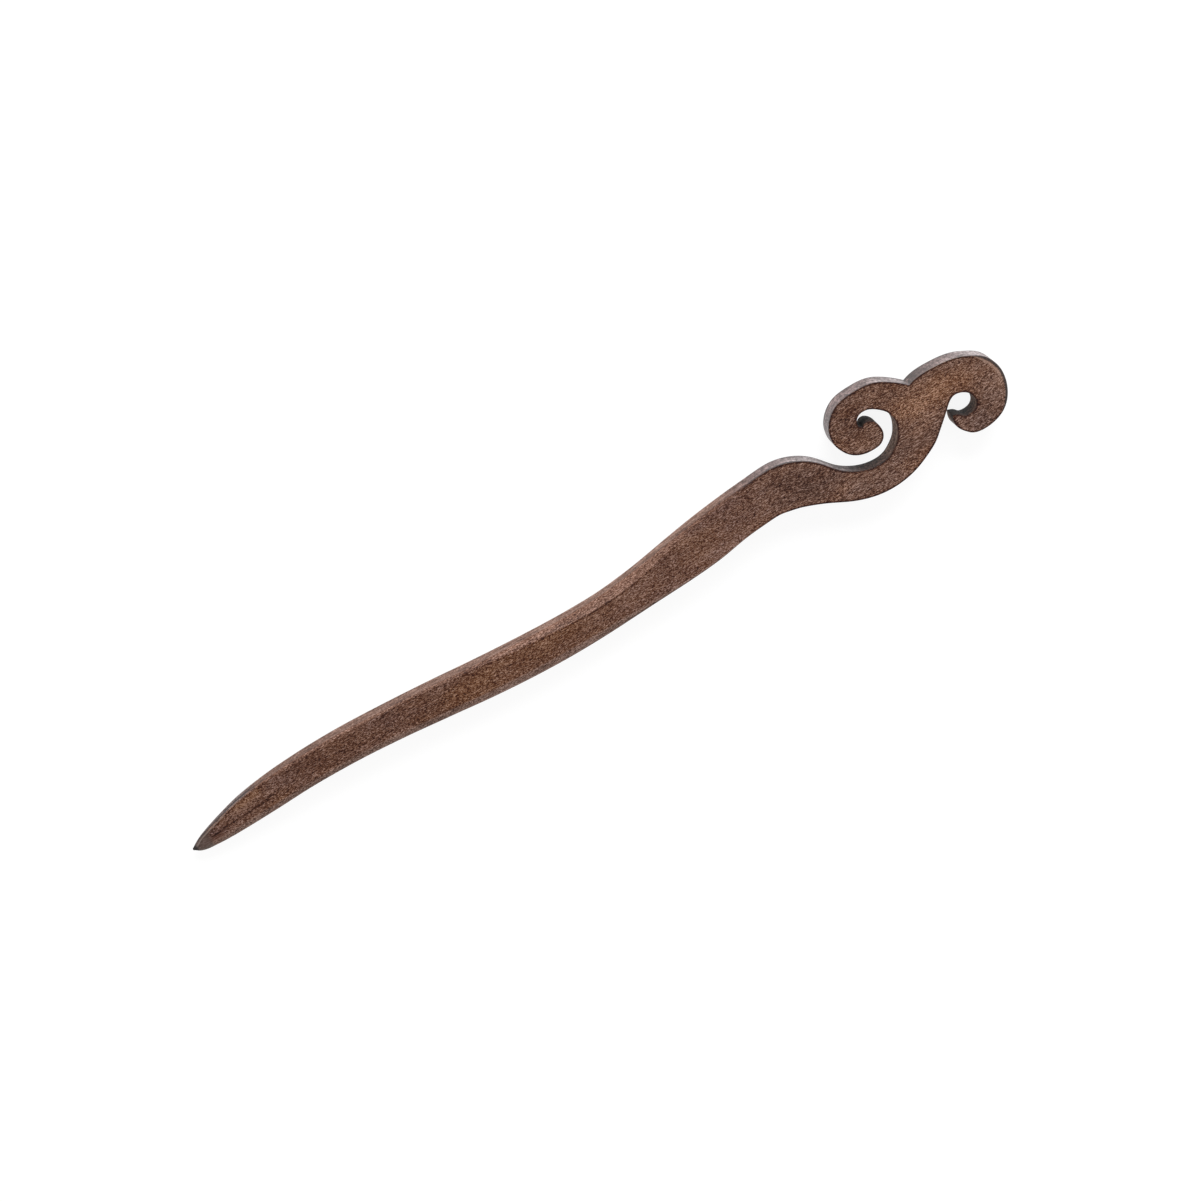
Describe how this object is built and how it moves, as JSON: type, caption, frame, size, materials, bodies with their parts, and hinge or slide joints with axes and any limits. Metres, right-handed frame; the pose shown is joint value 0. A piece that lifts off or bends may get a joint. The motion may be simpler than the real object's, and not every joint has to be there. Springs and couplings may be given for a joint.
{
  "type": "hairpin",
  "caption": "Flat carved wooden hair stick: a bent tapering shank that holds a bun, with cloud scrolls cut through its head.",
  "frame": {"origin": "centre of the part's box in X and Y, on its flat back (z = 0)", "axes": "+X runs along the stick from the point to the scroll head, +Y across it towards the side the near scroll rises to, +Z out of the front face"},
  "size_m": [0.18, 0.0204, 0.006],
  "materials": {
    "wood": "dark brown stained wood, fine grained, satin"
  },
  "bodies": {
    "root": {"hair_stick": "wood"}
  },
  "joints": []
}
